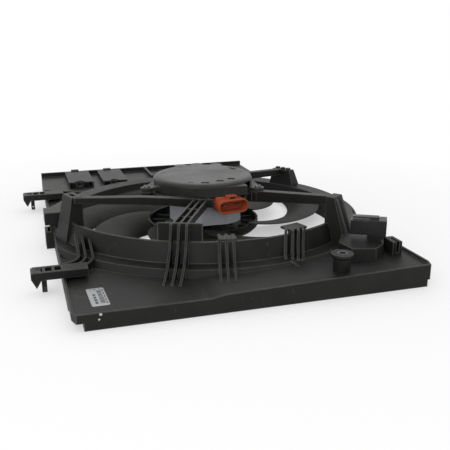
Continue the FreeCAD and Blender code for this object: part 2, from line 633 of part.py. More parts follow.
def fan_impeller():
    cup = turned([(9, HUB_FLOOR_Z - 0.5), (16, HUB_FLOOR_Z - 0.5), (16, HUB_FLOOR_Z - 2),
                  (HUB_R - 5, HUB_FLOOR_Z - 2),
                  (HUB_R, HUB_FLOOR_Z + 3), (HUB_R, HUB_RIM_Z), (HUB_R - 2.8, HUB_RIM_Z),
                  (HUB_R - 2.8, HUB_FLOOR_Z + 3), (14, HUB_FLOOR_Z + 3), (14, 13), (9, 13)])
    rib = block(60, HUB_R - 2, -0.9, 0.9, HUB_FLOOR_Z + 2, HUB_FLOOR_Z + 8)
    ribs = [placed(rib, i * 20) for i in range(18)]
    one = blade()
    blades = [placed(one, i * 360 / BLADES) for i in range(BLADES)]
    slots = [placed(block(28, 48, -2.5, 2.5, -5, HUB_FLOOR_Z + 5), i * 40 + 10) for i in range(9)]
    return fuse([cup] + ribs + blades).cut(fuse(slots))


def hub_insert():
    return tube(9, SHAFT_R, HUB_FLOOR_Z - 0.5, 15)


def hub_nut():
    nut = Part.makePolygon([polar(5.8, a, 1.2) for a in range(0, 361, 60)])
    return Part.Face(nut).extrude(V(0, 0, 2.3)).cut(rod(3.0, 0, 10))


def hub_washer():
    return tube(10, 3.0, 3.5, 4.5)


# ---- Sockets ----------------------------------------------------------------------
def oval(width, height, x):
    """Upright oval wire in a plane across the X axis."""
    r = height / 2
    flat = width / 2 - r
    a, b = V(x, -flat, r), V(x, flat, r)
    c, d = V(x, flat, -r), V(x, -flat, -r)
    edges = [Part.LineSegment(a, b).toShape(), Part.Arc(b, V(x, flat + r, 0), c).toShape(),
             Part.LineSegment(c, d).toShape(), Part.Arc(d, V(x, -flat - r, 0), a).toShape()]
    return Part.Wire(edges)


def power_connector():
    """Oval two-blade socket with a latch loop, drawn with its mouth on X = 0 facing +X."""
    body = Part.Face(oval(PLUG_W, PLUG_H, -PLUG_DEPTH)).extrude(V(PLUG_DEPTH, 0, 0))
    mouth = Part.Face(oval(PLUG_W - 2 * PLUG_WALL, PLUG_H - 2 * PLUG_WALL, -18)).extrude(V(19, 0, 0))
    latch = block(-15, -3, -7, 7, PLUG_H / 2 - 1, PLUG_H / 2 + 5)
    window = block(-16, -2, -5, 5, PLUG_H / 2 + 0.5, PLUG_H / 2 + 3.6)
    root = block(-PLUG_DEPTH, -PLUG_DEPTH + 7, -20, 20, 0, COVER_LOW - PLUG_AT.z)
    solid = fuse([body, latch, root]).cut(fuse([mouth, window]))
    slits = [block(-80, 5, y - 3.3, y + 3.3, -0.5, 0.5) for y in (-11, 11)]
    slits += [block(-80, 5, y - 0.4, y + 0.4, -4.4, -3.6) for y in (-3, 3)]
    return placed(solid.cut(fuse(slits)), PLUG_TURN, PLUG_AT)


def power_terminals():
    blades = [block(-PLUG_DEPTH, -7, y - 3.2, y + 3.2, -0.4, 0.4) for y in (-11, 11)]
    return Part.makeCompound([placed(b, PLUG_TURN, PLUG_AT) for b in blades])


def signal_pins():
    pins = [block(-PLUG_DEPTH, -9, y - 0.32, y + 0.32, -4.32, -3.68) for y in (-3, 3)]
    return Part.makeCompound([placed(p, PLUG_TURN, PLUG_AT) for p in pins])


def side_connector():
    """Harness socket on the corner pedestal, drawn along +X with its foot on Z = 0."""
    collar = block(-12, 10, -10, 12, 0, 21)
    shell = block(10, 34, -9, 11, 1, 20)
    cavity = block(16, 35, -6.8, 8.8, 3.2, 17.8)
    latch = fuse([block(8, 32, -4, 6, 22, 24), block(-2, 9, -4, 6, 20, 24)])
    neck = block(-8, 12, -9, 9, -6, 1)
    solid = fuse([collar, shell, latch, neck]).cut(cavity)
    holes = [block(0, 18, y - 0.65, y + 0.65, z - 0.4, z + 0.4) for y, z in side_pin_places()]
    return placed(solid.cut(fuse(holes)), SIDE_TURN, SIDE_AT)


def side_pin_places():
    return [(y, z) for y in (-3.5, 1, 5.5) for z in (7.5, 13.5)]


def side_connector_pins():
    pins = [block(2, 24, y - 0.6, y + 0.6, z - 0.35, z + 0.35) for y, z in side_pin_places()]
    return Part.makeCompound([placed(p, SIDE_TURN, SIDE_AT) for p in pins])


# ---- Panel fittings -----------------------------------------------------------------
def vent_plate(x0, x1, y0, y1):
    """A clip-on plate over an opening of the far panel, with a clip at each end."""
    mid = (x0 + x1) / 2 - 3
    shell = block(x0, x1, y0, y1, FAR_LEVEL, PLATE_TOP)
    shell = shell.cut(block(x0 + 2, x1 - 2, y0 - 1, y1 - 2, FAR_LEVEL - 1, PLATE_TOP - 2))
    near_clip = block(mid - 7, mid + 7, y0 - 4, y0 + 5, FAR_LEVEL, PLATE_TOP + 2.5)
    near_clip = near_clip.cut(block(mid - 4, mid + 4, y0 - 5, y0 + 1, FAR_LEVEL + 3, PLATE_TOP + 3))
    far_clip = block(mid - 7, mid + 7, y1 - 3, y1 + 4, FAR_LEVEL, PLATE_TOP + 2.5)
    return fuse([shell, near_clip, far_clip])


def boss_bush():
    return tube(BUSH_R, BUSH_HOLE, 0, BOSS_TOP + 0.3, *BOSS)


def label():
    plate = block(-10, 10, -26, 26, LOW_LEVEL, LOW_LEVEL + 0.3)
    return placed(plate, 2, V(-198.5, -269, 0))


NODES = {
    "motor_housing": motor_housing,
    "stator_core": stator_core,
    "stator_windings": stator_windings,
    "lower_bearing": lambda: bearing(LOWER_BEARING_Z),
    "upper_bearing": lambda: bearing(UPPER_BEARING_Z),
    "upper_bearing_plate": upper_plate,
    "controller_board": controller_board,
    "board_capacitors": board_capacitors,
    "board_transistors": board_transistors,
    "cover_gasket": cover_gasket,
    "motor_cover": motor_cover,
    "ear_screws": ear_screws,
    "cover_screws": cover_screws,
    "power_connector": power_connector,
    "power_terminals": power_terminals,
    "signal_pins": signal_pins,
    "side_connector": side_connector,
    "side_connector_pins": side_connector_pins,
    "left_vent_plate": lambda: vent_plate(*PLATES[0]),
    "right_vent_plate": lambda: vent_plate(*PLATES[1]),
    "boss_bush": boss_bush,
    "label": label,
    "fan_impeller": fan_impeller,
    "hub_insert": hub_insert,
    "hub_washer": hub_washer,
    "hub_nut": hub_nut,
    "motor_shaft": motor_shaft,
    "rotor_core": rotor_core,
    "rotor_magnets": rotor_magnets,
}

shapes = moulding()
shapes.update({name: build() for name, build in NODES.items()})
for name, shape in shapes.items():
    shape = shape.translated(ORIGIN * -1)
    box = shape.BoundBox
    print("%-20s solids %d valid %s  x %.1f..%.1f y %.1f..%.1f z %.1f..%.1f" % (
        name, len(shape.Solids), shape.isValid(), box.XMin, box.XMax, box.YMin, box.YMax,
        box.ZMin, box.ZMax))
    shape.exportStep("parts/%s.step" % name)
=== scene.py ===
"""Radiator fan shroud with its electric fan, dressed for the camera.

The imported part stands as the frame. Each section below finishes one piece, or one group of
like pieces, in the order in which the shroud is put together."""
import bpy
from math import cos, radians, sin
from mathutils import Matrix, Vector


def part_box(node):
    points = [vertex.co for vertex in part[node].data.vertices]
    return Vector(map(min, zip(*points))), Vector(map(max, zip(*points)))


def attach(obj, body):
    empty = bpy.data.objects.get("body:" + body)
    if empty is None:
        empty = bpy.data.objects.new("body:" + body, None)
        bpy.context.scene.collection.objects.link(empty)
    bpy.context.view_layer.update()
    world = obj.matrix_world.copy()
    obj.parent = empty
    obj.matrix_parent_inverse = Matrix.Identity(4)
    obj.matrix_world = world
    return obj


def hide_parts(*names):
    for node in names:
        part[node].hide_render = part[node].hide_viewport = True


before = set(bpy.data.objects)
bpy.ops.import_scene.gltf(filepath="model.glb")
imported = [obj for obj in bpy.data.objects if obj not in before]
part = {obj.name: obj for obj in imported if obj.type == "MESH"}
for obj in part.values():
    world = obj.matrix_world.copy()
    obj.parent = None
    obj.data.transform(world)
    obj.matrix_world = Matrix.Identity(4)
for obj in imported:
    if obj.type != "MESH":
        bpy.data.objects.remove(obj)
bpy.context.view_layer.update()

# ---- Shroud moulding -------------------------------------------------------------
# The panel, the fan ring, the towers, the arms and the side clips are one injection moulding
# of glass-filled polypropylene with a fine spark grain. Dust lies on what looks up, and a few
# knocks show bare plastic. Edges are painted pale, partly as rubbed plastic and partly as a
# painted highlight along each crest. The two vent plates match it.
moulding_black = (0.0078, 0.0074, 0.0070, 1)
# Pale grey of edges and scuffs: wear on both, and on the edges also a painted highlight.
rubbed_and_highlight_grey = (0.12, 0.117, 0.113, 1)
dust_grey = (0.085, 0.082, 0.076, 1)
bare_plastic = (0.45, 0.44, 0.42, 1)
cloud_lift = 2.2
skin_roughness_spread = 0.06
dusty_roughness = 0.85


def new_group(name, inputs, outputs):
    """A shader group with float inputs {name: default} and outputs {name: socket type}."""
    group = bpy.data.node_groups.new(name, "ShaderNodeTree")
    for label, value in inputs.items():
        socket = group.interface.new_socket(name=label, in_out="INPUT", socket_type="NodeSocketFloat")
        socket.default_value = value
    for label, kind in outputs.items():
        group.interface.new_socket(name=label, in_out="OUTPUT", socket_type=kind)
    return group, group.nodes.new("NodeGroupInput"), group.nodes.new("NodeGroupOutput")


def spark_grain_group():
    """Height of a spark-eroded grain: fine pits over a slower unevenness."""
    group, given, out = new_group("Spark grain", {"Scale": 900.0, "Unevenness": 0.35},
                                  {"Height": "NodeSocketFloat"})
    nodes, links = group.nodes, group.links
    place = nodes.new("ShaderNodeTexCoord")
    fine = nodes.new("ShaderNodeTexNoise")
    fine.inputs["Detail"].default_value = 3.0
    fine.inputs["Roughness"].default_value = 0.6
    slow = nodes.new("ShaderNodeTexNoise")
    slow.inputs["Scale"].default_value = 9.0
    slow.inputs["Detail"].default_value = 2.0
    blend = nodes.new("ShaderNodeMath")
    blend.operation = "MULTIPLY_ADD"
    links.new(place.outputs["Object"], fine.inputs["Vector"])
    links.new(place.outputs["Object"], slow.inputs["Vector"])
    links.new(given.outputs["Scale"], fine.inputs["Scale"])
    links.new(slow.outputs["Fac"], blend.inputs[0])
    links.new(given.outputs["Unevenness"], blend.inputs[1])
    links.new(fine.outputs["Fac"], blend.inputs[2])
    links.new(blend.outputs[0], out.inputs["Height"])
    return group


def settled_dust_group():
    """Mask of dust: on faces that look up, in soft patches."""
    group, given, out = new_group("Settled dust", {"Amount": 0.5, "Patch scale": 14.0},
                                  {"Mask": "NodeSocketFloat"})
    nodes, links = group.nodes, group.links
    place = nodes.new("ShaderNodeTexCoord")
    shape = nodes.new("ShaderNodeNewGeometry")
    apart = nodes.new("ShaderNodeSeparateXYZ")
    patches = nodes.new("ShaderNodeTexNoise")
    patches.inputs["Detail"].default_value = 5.0
    patches.inputs["Roughness"].default_value = 0.62
    up = nodes.new("ShaderNodeMapRange")
    up.inputs["From Min"].default_value = 0.3
    thin = nodes.new("ShaderNodeMapRange")
    thin.inputs["From Min"].default_value = 0.42
    thin.inputs["From Max"].default_value = 0.72
    both = nodes.new("ShaderNodeMath")
    both.operation = "MULTIPLY"
    scaled = nodes.new("ShaderNodeMath")
    scaled.operation = "MULTIPLY"
    scaled.use_clamp = True
    links.new(place.outputs["Object"], patches.inputs["Vector"])
    links.new(given.outputs["Patch scale"], patches.inputs["Scale"])
    links.new(shape.outputs["Normal"], apart.inputs["Vector"])
    links.new(apart.outputs["Z"], up.inputs["Value"])
    links.new(patches.outputs["Fac"], thin.inputs["Value"])
    links.new(up.outputs["Result"], both.inputs[0])
    links.new(thin.outputs["Result"], both.inputs[1])
    links.new(both.outputs[0], scaled.inputs[0])
    links.new(given.outputs["Amount"], scaled.inputs[1])
    links.new(scaled.outputs[0], out.inputs["Mask"])
    return group


def edge_rub_and_highlight_group():
    """Mask of pale edges, partly wear and partly painted highlight: where a rounded normal leaves the
    flat one, broken up by noise.
    """
    group, given, out = new_group("Edge wear and painted highlight", {"Width": 0.0018, "Amount": 0.8},
                                  {"Mask": "NodeSocketFloat", "Normal": "NodeSocketVector"})
    nodes, links = group.nodes, group.links
    place = nodes.new("ShaderNodeTexCoord")
    shape = nodes.new("ShaderNodeNewGeometry")
    rounded = nodes.new("ShaderNodeBevel")
    rounded.samples = 4
    alike = nodes.new("ShaderNodeVectorMath")
    alike.operation = "DOT_PRODUCT"
    bare = nodes.new("ShaderNodeMapRange")
    bare.inputs["From Min"].default_value = 0.985
    bare.inputs["From Max"].default_value = 0.90
    broken = nodes.new("ShaderNodeTexNoise")
    broken.inputs["Scale"].default_value = 55.0
    broken.inputs["Detail"].default_value = 4.0
    both = nodes.new("ShaderNodeMath")
    both.operation = "MULTIPLY"
    scaled = nodes.new("ShaderNodeMath")
    scaled.operation = "MULTIPLY"
    scaled.use_clamp = True
    links.new(given.outputs["Width"], rounded.inputs["Radius"])
    links.new(rounded.outputs["Normal"], alike.inputs[0])
    links.new(shape.outputs["Normal"], alike.inputs[1])
    links.new(alike.outputs["Value"], bare.inputs["Value"])
    links.new(place.outputs["Object"], broken.inputs["Vector"])
    links.new(bare.outputs["Result"], both.inputs[0])
    links.new(broken.outputs["Fac"], both.inputs[1])
    links.new(both.outputs[0], scaled.inputs[0])
    links.new(given.outputs["Amount"], scaled.inputs[1])
    links.new(scaled.outputs[0], out.inputs["Mask"])
    links.new(rounded.outputs["Normal"], out.inputs["Normal"])
    return group


def hand_scuff_group():
    """Mask of thin scuffs: stretched noise cut to its peaks, thinned out by patches."""
    group, given, out = new_group("Hand scuffs", {"Amount": 0.3, "Turn": 0.6},
                                  {"Mask": "NodeSocketFloat"})
    nodes, links = group.nodes, group.links
    place = nodes.new("ShaderNodeTexCoord")
    turned = nodes.new("ShaderNodeVectorRotate")
    turned.rotation_type = "Z_AXIS"
    drawn = nodes.new("ShaderNodeMapping")
    drawn.inputs["Scale"].default_value = (14.0, 420.0, 90.0)
    lines = nodes.new("ShaderNodeTexNoise")
    lines.inputs["Scale"].default_value = 1.0
    lines.inputs["Detail"].default_value = 2.0
    peaks = nodes.new("ShaderNodeMapRange")
    peaks.inputs["From Min"].default_value = 0.66
    peaks.inputs["From Max"].default_value = 0.74
    where = nodes.new("ShaderNodeTexNoise")
    where.inputs["Scale"].default_value = 11.0
    few = nodes.new("ShaderNodeMapRange")
    few.inputs["From Min"].default_value = 0.5
    few.inputs["From Max"].default_value = 0.68
    both = nodes.new("ShaderNodeMath")
    both.operation = "MULTIPLY"
    scaled = nodes.new("ShaderNodeMath")
    scaled.operation = "MULTIPLY"
    scaled.use_clamp = True
    links.new(place.outputs["Object"], turned.inputs["Vector"])
    links.new(given.outputs["Turn"], turned.inputs["Angle"])
    links.new(turned.outputs["Vector"], drawn.inputs["Vector"])
    links.new(drawn.outputs["Vector"], lines.inputs["Vector"])
    links.new(lines.outputs["Fac"], peaks.inputs["Value"])
    links.new(place.outputs["Object"], where.inputs["Vector"])
    links.new(where.outputs["Fac"], few.inputs["Value"])
    links.new(peaks.outputs["Result"], both.inputs[0])
    links.new(few.outputs["Result"], both.inputs[1])
    links.new(both.outputs[0], scaled.inputs[0])
    links.new(given.outputs["Amount"], scaled.inputs[1])
    links.new(scaled.outputs[0], out.inputs["Mask"])
    return group


def flow_cloud_group():
    """Mask of the skin's uneven shade: soft clouds that the melt leaves as it flows."""
    group, given, out = new_group("Flow clouds", {"Scale": 16.0, "Amount": 0.5},
                                  {"Mask": "NodeSocketFloat"})
    nodes, links = group.nodes, group.links
    place = nodes.new("ShaderNodeTexCoord")
    clouds = nodes.new("ShaderNodeTexNoise")
    clouds.inputs["Detail"].default_value = 7.0
    clouds.inputs["Roughness"].default_value = 0.65
    clouds.inputs["Distortion"].default_value = 0.6
    spread = nodes.new("ShaderNodeMapRange")
    spread.inputs["From Min"].default_value = 0.38
    spread.inputs["From Max"].default_value = 0.68
    scaled = nodes.new("ShaderNodeMath")
    scaled.operation = "MULTIPLY"
    scaled.use_clamp = True
    links.new(place.outputs["Object"], clouds.inputs["Vector"])
    links.new(given.outputs["Scale"], clouds.inputs["Scale"])
    links.new(clouds.outputs["Fac"], spread.inputs["Value"])
    links.new(spread.outputs["Result"], scaled.inputs[0])
    links.new(given.outputs["Amount"], scaled.inputs[1])
    links.new(scaled.outputs[0], out.inputs["Mask"])
    return group


def knocked_spot_group():
    """Mask of one knock: a ragged spot about a place on the part."""
    group, given, out = new_group("Knocked spot", {"X": 0.0, "Y": 0.0, "Z": 0.0, "Radius": 0.005},
                                  {"Mask": "NodeSocketFloat"})
    nodes, links = group.nodes, group.links
    place = nodes.new("ShaderNodeTexCoord")
    centre = nodes.new("ShaderNodeCombineXYZ")
    reach = nodes.new("ShaderNodeVectorMath")
    reach.operation = "DISTANCE"
    ragged = nodes.new("ShaderNodeTexNoise")
    ragged.inputs["Scale"].default_value = 700.0
    ragged.inputs["Detail"].default_value = 6.0
    ragged.inputs["Roughness"].default_value = 0.8
    ragged.inputs["Distortion"].default_value = 1.5
    share = nodes.new("ShaderNodeMath")
    share.operation = "DIVIDE"
    torn = nodes.new("ShaderNodeMath")
    torn.operation = "SUBTRACT"
    spot = nodes.new("ShaderNodeMapRange")
    spot.inputs["From Min"].default_value = 0.10
    spot.inputs["From Max"].default_value = -0.02
    for axis_name in ("X", "Y", "Z"):
        links.new(given.outputs[axis_name], centre.inputs[axis_name])
    links.new(place.outputs["Object"], reach.inputs[0])
    links.new(centre.outputs["Vector"], reach.inputs[1])
    links.new(reach.outputs["Value"], share.inputs[0])
    links.new(given.outputs["Radius"], share.inputs[1])
    links.new(place.outputs["Object"], ragged.inputs["Vector"])
    links.new(share.outputs[0], torn.inputs[0])
    links.new(ragged.outputs["Fac"], torn.inputs[1])
    links.new(torn.outputs[0], spot.inputs["Value"])
    links.new(spot.outputs["Result"], out.inputs["Mask"])
    return group


spark_grain = spark_grain_group()
flow_clouds = flow_cloud_group()
knocked_spot = knocked_spot_group()
settled_dust = settled_dust_group()
edge_rub_and_highlight = edge_rub_and_highlight_group()
hand_scuffs = hand_scuff_group()


def placed_group(tree, group, **values):
    """The group as a node of a material, with its own values."""
    node = tree.nodes.new("ShaderNodeGroup")
    node.node_tree = group
    for label, value in values.items():
        node.inputs[label.replace("_", " ")].default_value = value
    return node


def colour_over(tree, under, over, mask):
    """Colour socket of `over` laid on `under` where the mask is 1. Either may be a colour."""
    mix = tree.nodes.new("ShaderNodeMix")
    mix.data_type = "RGBA"
    tree.links.new(mask, mix.inputs["Factor"])
    for slot, value in (("A", under), ("B", over)):
        socket = [s for s in mix.inputs if s.name == slot and s.type == "RGBA"][0]
        if isinstance(value, tuple):
            socket.default_value = value
        else:
            tree.links.new(value, socket)
    return [s for s in mix.outputs if s.type == "RGBA"][0]


def roughness_over(tree, base, spread, mask, masked):
    """Roughness socket: base with a slow spread, going to `masked` where the mask is 1."""
    place = tree.nodes.new("ShaderNodeTexCoord")
    noise = tree.nodes.new("ShaderNodeTexNoise")
    noise.inputs["Scale"].default_value = 30.0
    noise.inputs["Detail"].default_value = 4.0
    wide = tree.nodes.new("ShaderNodeMapRange")
    wide.inputs["To Min"].default_value = base - spread
    wide.inputs["To Max"].default_value = base + spread
    mix = tree.nodes.new("ShaderNodeMix")
    mix.inputs["B"].default_value = masked
    tree.links.new(place.outputs["Object"], noise.inputs["Vector"])
    tree.links.new(noise.outputs["Fac"], wide.inputs["Value"])
    tree.links.new(mask, mix.inputs["Factor"])
    tree.links.new(wide.outputs["Result"], mix.inputs["A"])
    return mix.outputs["Result"]


def moulded_plastic(name, colour, rubbed_and_highlight, roughness, grain_scale, grain_depth, dust, rub_and_highlight,
                    scuffs=0.3, gloss=0.18, knocks=()):
    """Grained moulding with dusty tops, pale edges that are partly rubbed and partly a painted
    highlight, thin scuffs and a few knocks.
    """
    material = bpy.data.materials.new(name)
    material.use_nodes = True
    tree = material.node_tree
    surface = tree.nodes["Principled BSDF"]
    grain = placed_group(tree, spark_grain, Scale=grain_scale)
    settled = placed_group(tree, settled_dust, Amount=dust)
    edges = placed_group(tree, edge_rub_and_highlight, Amount=rub_and_highlight)
    marks = placed_group(tree, hand_scuffs, Amount=scuffs)
    clouds = placed_group(tree, flow_clouds)
    paler = tuple(min(1.0, c * cloud_lift) for c in colour[:3]) + (1,)
    clouded = colour_over(tree, colour, paler, clouds.outputs["Mask"])
    # Pale edges: partly rubbed plastic, partly a painted highlight along the crests.
    worn_and_highlit = colour_over(tree, clouded, rubbed_and_highlight, edges.outputs["Mask"])
    scuffed = colour_over(tree, worn_and_highlit, rubbed_and_highlight, marks.outputs["Mask"])
    finished = colour_over(tree, scuffed, dust_grey, settled.outputs["Mask"])
    for x, y, z, radius in knocks:
        knock = placed_group(tree, knocked_spot, X=x, Y=y, Z=z, Radius=radius)
        finished = colour_over(tree, finished, bare_plastic, knock.outputs["Mask"])
    tree.links.new(finished, surface.inputs["Base Color"])
    rough = roughness_over(tree, roughness, skin_roughness_spread, settled.outputs["Mask"],
                           dusty_roughness)
    tree.links.new(rough, surface.inputs["Roughness"])
    surface.inputs["Specular IOR Level"].default_value = gloss
    bump = tree.nodes.new("ShaderNodeBump")
    bump.inputs["Strength"].default_value = 0.5
    bump.inputs["Distance"].default_value = grain_depth
    tree.links.new(grain.outputs["Height"], bump.inputs["Height"])
    tree.links.new(edges.outputs["Normal"], bump.inputs["Normal"])
    tree.links.new(bump.outputs["Normal"], surface.inputs["Normal"])
    return material


def dress(material, *names):
    """The CAD pieces of these names take one finish."""
    for name in names:
        part[name].data.materials.clear()
        part[name].data.materials.append(material)


skirt_low, skirt_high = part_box("panel_near")
tower_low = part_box("ring_towers")[0]
# Each knock: its place on the part and its radius, in metres.
knocked_places = ((skirt_low.x + 0.030, skirt_low.y, 0.0175, 0.0028),
                  (skirt_low.x + 0.028, skirt_low.y, 0.0118, 0.0020),
                  (skirt_high.x - 0.022, skirt_low.y, 0.0260, 0.0036),
                  (tower_low.x + 0.024, tower_low.y + 0.135, 0.050, 0.0030))
# The edge amount here paints pale crests: partly wear, partly a painted highlight.
shroud_plastic = moulded_plastic("Shroud polypropylene", moulding_black, rubbed_and_highlight_grey, 0.52,
                                 grain_scale=900.0, grain_depth=0.00012, dust=0.12, rub_and_highlight=1.7,
                                 knocks=knocked_places)
dress(shroud_plastic, "fan_ring", "panel_near", "panel_far", "ring_towers", "motor_carrier",
      "motor_arms", "side_clips", "corner_boss", "corner_pedestal", "corner_lug", "rest_tab",
      "left_vent_plate", "right_vent_plate")

# ---- Fan impeller ----------------------------------------------------------------
# Seven wide blades and their hub are one moulding of polyamide. The tool is polished, so
# it is smoother than the shroud, and the air has laid grey dust on the blades.
blade_black = (0.0100, 0.0098, 0.0090, 1)
blade_plastic = moulded_plastic("Fan polyamide", blade_black, rubbed_and_highlight_grey, 0.58,
                                grain_scale=500.0, grain_depth=0.00006, dust=0.15, rub_and_highlight=0.6, gloss=0.08)
dress(blade_plastic, "fan_impeller")

# ---- Motor housing, shaft and bearings -------------------------------------------
# A die-cast aluminium can holds the bearings; its skin is matt and faintly mottled.
# The shaft, the hub's insert, washer and nut are turned and pressed from steel.
stain_shade = 0.55
metal_roughness_spread = 0.1
grimy_roughness = 0.7


def mottled_metal(name, colour, roughness, mottle_scale, depth, metallic=0.85):
    """Metal or silvered film: a mottled skin with thin scuffs and a little grime."""
    material = bpy.data.materials.new(name)
    material.use_nodes = True
    tree = material.node_tree
    surface = tree.nodes["Principled BSDF"]
    surface.inputs["Metallic"].default_value = metallic
    grain = placed_group(tree, spark_grain, Scale=mottle_scale, Unevenness=0.8)
    grime = placed_group(tree, settled_dust, Amount=0.4, Patch_scale=40.0)
    marks = placed_group(tree, hand_scuffs, Amount=0.5)
    darker = tuple(c * stain_shade for c in colour[:3]) + (1,)
    stained = colour_over(tree, colour, darker, grime.outputs["Mask"])
    marked = colour_over(tree, stained, darker, marks.outputs["Mask"])
    tree.links.new(marked, surface.inputs["Base Color"])
    rough = roughness_over(tree, roughness, metal_roughness_spread, grime.outputs["Mask"],
                           grimy_roughness)
    tree.links.new(rough, surface.inputs["Roughness"])
    bump = tree.nodes.new("ShaderNodeBump")
    bump.inputs["Strength"].default_value = 0.4
    bump.inputs["Distance"].default_value = depth
    tree.links.new(grain.outputs["Height"], bump.inputs["Height"])
    tree.links.new(bump.outputs["Normal"], surface.inputs["Normal"])
    return material


can_metal = mottled_metal("Die-cast aluminium", (0.50, 0.52, 0.56, 1), 0.5, 350.0, 0.00015, metallic=0.3)
dress(can_metal, "motor_housing", "upper_bearing_plate")
turned_steel = mottled_metal("Turned steel", (0.50, 0.50, 0.52, 1), 0.28, 1500.0, 0.00003)
dress(turned_steel, "lower_bearing", "upper_bearing", "motor_shaft", "hub_insert", "hub_washer",
      "hub_nut")
laminated_steel = mottled_metal("Laminated steel", (0.20, 0.20, 0.21, 1), 0.45, 700.0, 0.0001)
dress(laminated_steel, "stator_core", "rotor_core", "rotor_magnets")
wire_copper = mottled_metal("Winding copper", (0.45, 0.17, 0.08, 1), 0.3, 600.0, 0.0001)
dress(wire_copper, "stator_windings")

# ---- Controller cover ------------------------------------------------------------
# The controller on top of the motor has a cap of matt grey-black polyamide, screwed down
# over a silicone gasket. It faces up, so it is the dustiest piece of all.
cap_grey = (0.022, 0.022, 0.021, 1)
cap_plastic = moulded_plastic("Cover polyamide", cap_grey, rubbed_and_highlight_grey, 0.40,
                              grain_scale=650.0, grain_depth=0.0001, dust=0.22, rub_and_highlight=0.9, gloss=0.12)
dress(cap_plastic, "motor_cover")
gasket_rubber = moulded_plastic("Gasket silicone", (0.02, 0.02, 0.02, 1), rubbed_and_highlight_grey, 0.6,
                                grain_scale=300.0, grain_depth=0.00005, dust=0.2, rub_and_highlight=0.0)
dress(gasket_rubber, "cover_gasket")

# ---- Controller board ------------------------------------------------------------
# The board under the cap is green solder mask on glass laminate, with sleeved cans and
# moulded transistors soldered to it.
board_mask = moulded_plastic("Solder mask", (0.02, 0.10, 0.04, 1), (0.3, 0.3, 0.2, 1), 0.3,
                             grain_scale=400.0, grain_depth=0.00003, dust=0.1, rub_and_highlight=0.2)
dress(board_mask, "controller_board")
can_sleeve = moulded_plastic("Capacitor sleeve", (0.02, 0.02, 0.03, 1), rubbed_and_highlight_grey, 0.25,
                             grain_scale=200.0, grain_depth=0.00002, dust=0.1, rub_and_highlight=0.1)
dress(can_sleeve, "board_capacitors", "board_transistors")

# ---- Screws ----------------------------------------------------------------------
# Dark zinc-plated screws hold the motor's three ears to the carrier and the cap to the
# motor. Each has a washer face, a domed head and a six-sided drive sunk in it. The steel
# bush that is pressed into the corner boss has the same plating.
washer_share, dome_share = 0.28, 0.72   # of the head's height
dome_foot, dome_top = 0.80, 0.70        # of the head's radius
drive_floor = 0.40                      # height of the drive's floor, of the head's height
round_sides, shank_sides, drive_sides = 40, 24, 6
screw_cell = 0.02                       # wider than a head, under half the screws' spacing
zinc = mottled_metal("Dark zinc plating", (0.10, 0.10, 0.098, 1), 0.42, 900.0, 0.00004)
dress(zinc, "ear_screws", "cover_screws", "boss_bush")


def screw_head_tree():
    """Geometry tree: a head with a hexagon socket on every point of the mesh it is given."""
    tree = bpy.data.node_groups.new("Socket heads", "GeometryNodeTree")
    tree.interface.new_socket(name="Places", in_out="INPUT", socket_type="NodeSocketGeometry")
    for label in ("Head radius", "Head height", "Socket radius", "Shank radius", "Shank length"):
        tree.interface.new_socket(name=label, in_out="INPUT", socket_type="NodeSocketFloat")
    tree.interface.new_socket(name="Finish", in_out="INPUT", socket_type="NodeSocketMaterial")
    tree.interface.new_socket(name="Screws", in_out="OUTPUT", socket_type="NodeSocketGeometry")
    nodes, links = tree.nodes, tree.links
    given = nodes.new("NodeGroupInput")
    out = nodes.new("NodeGroupOutput")

    def scaled(source, factor):
        node = nodes.new("ShaderNodeMath")
        node.operation = "MULTIPLY"
        node.inputs[1].default_value = factor
        links.new(source, node.inputs[0])
        return node.outputs[0]

    def drum(radius, depth, sides, lift, small_top=None):
        node = nodes.new("GeometryNodeMeshCone")
        node.inputs["Vertices"].default_value = sides
        links.new(radius, node.inputs["Radius Bottom"])
        links.new(small_top or radius, node.inputs["Radius Top"])
        links.new(depth, node.inputs["Depth"])
        place = nodes.new("ShaderNodeCombineXYZ")
        links.new(lift, place.inputs["Z"])
        move = nodes.new("GeometryNodeTransform")
        links.new(node.outputs["Mesh"], move.inputs["Geometry"])
        links.new(place.outputs["Vector"], move.inputs["Translation"])
        return move.outputs["Geometry"]

    head_r, head_h = given.outputs["Head radius"], given.outputs["Head height"]
    nothing = scaled(head_h, 0.0)
    below = scaled(given.outputs["Shank length"], -1.0)
    washer = drum(head_r, scaled(head_h, washer_share), round_sides, nothing)
    dome = drum(scaled(head_r, dome_foot), scaled(head_h, dome_share), round_sides,
                scaled(head_h, washer_share), scaled(head_r, dome_top))
    socket = drum(given.outputs["Socket radius"], head_h, drive_sides, scaled(head_h, drive_floor))
    shank = drum(given.outputs["Shank radius"], given.outputs["Shank length"], shank_sides, below)
    sunk = nodes.new("GeometryNodeMeshBoolean")
    sunk.operation = "DIFFERENCE"
    links.new(dome, sunk.inputs["Mesh 1"])
    links.new(socket, sunk.inputs["Mesh 2"])
    one = nodes.new("GeometryNodeJoinGeometry")
    for piece in (washer, shank, sunk.outputs["Mesh"]):
        links.new(piece, one.inputs["Geometry"])
    spread = nodes.new("GeometryNodeInstanceOnPoints")
    solid = nodes.new("GeometryNodeRealizeInstances")
    finish = nodes.new("GeometryNodeSetMaterial")
    links.new(given.outputs["Places"], spread.inputs["Points"])
    links.new(one.outputs["Geometry"], spread.inputs["Instance"])
    links.new(spread.outputs["Instances"], solid.inputs["Geometry"])
    links.new(solid.outputs["Geometry"], finish.inputs["Geometry"])
    links.new(given.outputs["Finish"], finish.inputs["Material"])
    links.new(finish.outputs["Geometry"], out.inputs["Screws"])
    return tree


socket_heads = screw_head_tree()


